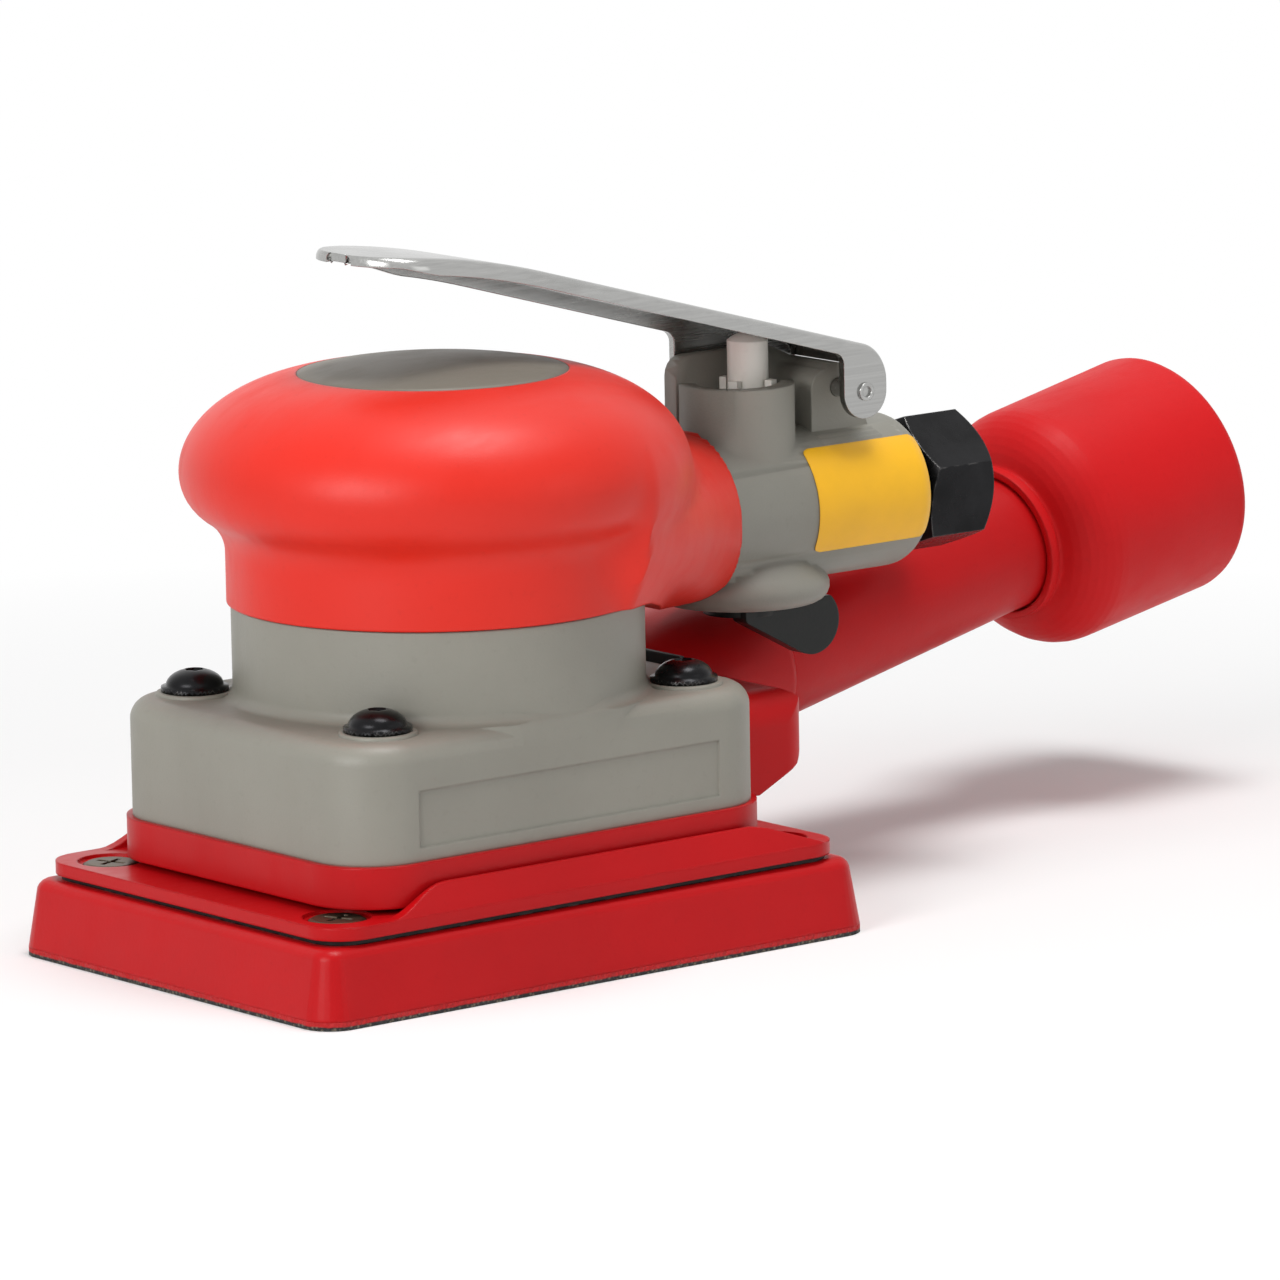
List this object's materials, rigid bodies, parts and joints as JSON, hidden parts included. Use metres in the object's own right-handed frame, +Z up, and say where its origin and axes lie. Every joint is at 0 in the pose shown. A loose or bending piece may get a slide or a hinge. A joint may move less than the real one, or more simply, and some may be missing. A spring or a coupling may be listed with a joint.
{
  "type": "orbital sander",
  "caption": "Palm-held air-powered orbital sander with rectangular pad, soft round grip, throttle lever, air inlet and side-offset dust extraction tube.",
  "frame": {"origin": "on the sanding face, below the motor's axis", "axes": "+Z up along the motor's axis, +X towards the air inlet and the extraction hose, +Y towards the side on which the extraction tube lies"},
  "size_m": [0.2188, 0.0828, 0.1046],
  "materials": {
    "grey_housing": "fine matte",
    "grey_plastic": "fine matte",
    "grip_rubber": "soft satin",
    "red_plastic": "semi-gloss",
    "red_tube": "satin",
    "red_cuff": "satin",
    "red_pad": "semi-gloss",
    "stainless": "brushed",
    "steel": "ground",
    "bearing_steel": "polished",
    "black_steel": "black oxide",
    "bronzed_steel": "dark zinc",
    "dark_plate": "matte",
    "brass": "machined",
    "alloy": "machined",
    "phenolic": "matte",
    "white_acetal": "satin",
    "black_plastic": "satin",
    "black_rubber": "matte",
    "hook_fabric": "hook pile"
  },
  "bodies": {
    "housing": {"motor_housing": "grey_housing", "grip": "grip_rubber", "shroud": "grey_plastic", "skirt": "red_plastic", "lock_ring": "alloy", "rear_end_plate": "alloy", "cylinder_liner": "steel", "front_end_plate": "alloy", "cylinder_pin": "steel", "upper_bearing_outer": "bearing_steel", "lower_bearing_outer": "bearing_steel", "valve_guide": "white_acetal", "stem_seal": "black_rubber", "valve_seat": "brass", "valve_spring": "steel", "inlet_bushing": "black_steel", "inlet_seal": "black_rubber", "inlet_screen": "steel", "lever_pin": "stainless", "exhaust_elbow": "red_tube", "elbow_gasket": "black_rubber", "exhaust_tube": "red_tube", "posts": "black_rubber", "post_screws": "black_steel"},
    "shaft": {"rotor": "steel", "rotor_key": "steel", "vanes": "phenolic", "shaft_balancer": "steel", "upper_bearing_inner": "bearing_steel", "upper_bearing_balls": "bearing_steel", "lower_bearing_inner": "bearing_steel", "lower_bearing_balls": "bearing_steel", "spindle_bearing_inner": "bearing_steel", "spindle_bearing_balls": "bearing_steel", "crank_screw": "black_steel"},
    "pad_set": {"carrier": "red_plastic", "spindle_bearing_outer": "bearing_steel", "bearing_circlip": "steel", "backing_plate": "dark_plate", "pad": "red_pad", "hook_face": "hook_fabric", "pad_screws": "bronzed_steel", "lower_post_screws": "steel"},
    "lever": {"throttle_lever": "stainless"},
    "stem": {"valve_stem": "white_acetal"},
    "tip": {"tip_valve": "brass"},
    "speed": {"speed_control": "black_plastic", "speed_seal": "black_rubber"},
    "cuff": {"hose_cuff": "red_cuff"}
  },
  "joints": [
    {"name": "shaft_spin", "type": "hinge", "parent": "housing", "child": "shaft", "pos_m": [0, 0, 0.05], "axis": [0, 0, 1], "continuous": true},
    {"name": "pad_orbit", "type": "hinge", "parent": "shaft", "child": "pad_set", "pos_m": [0.00101, 0.00124, 0.02], "axis": [0, 0, 1], "continuous": true, "deforming": ["posts"]},
    {"name": "lever_hinge", "type": "hinge", "parent": "housing", "child": "lever", "pos_m": [0.0734, 0, 0.0757], "axis": [0, -1, 0], "range_deg": [0, 7.5], "stiffness_Nm_per_rad": 0.2, "springref_deg": -28.65},
    {"name": "stem_slide", "type": "slide", "parent": "housing", "child": "stem", "axis": [0, 0, -1], "range_m": [0, 0.00182]},
    {"name": "valve_tilt", "type": "hinge", "parent": "housing", "child": "tip", "pos_m": [0.06682, 0, 0.0636], "axis": [0, -1, 0], "range_deg": [0, 13.6], "deforming": ["valve_spring"]},
    {"name": "speed_turn", "type": "hinge", "parent": "housing", "child": "speed", "pos_m": [0.0576, 0, 0.0445], "axis": [0, 0, 1], "range_deg": [-60, 0]},
    {"name": "cuff_swivel", "type": "hinge", "parent": "housing", "child": "cuff", "pos_m": [0.0985, 0.0202, 0.0366], "axis": [0.9811, 0.0858, 0.1736], "continuous": true}
  ],
  "couplings": [
    {"joint": "pad_orbit", "follows": "shaft_spin", "ratio": -1},
    {"joint": "stem_slide", "follows": "lever_hinge", "m_per_rad": 0.0138},
    {"joint": "valve_tilt", "follows": "lever_hinge", "ratio": 1.8}
  ]
}
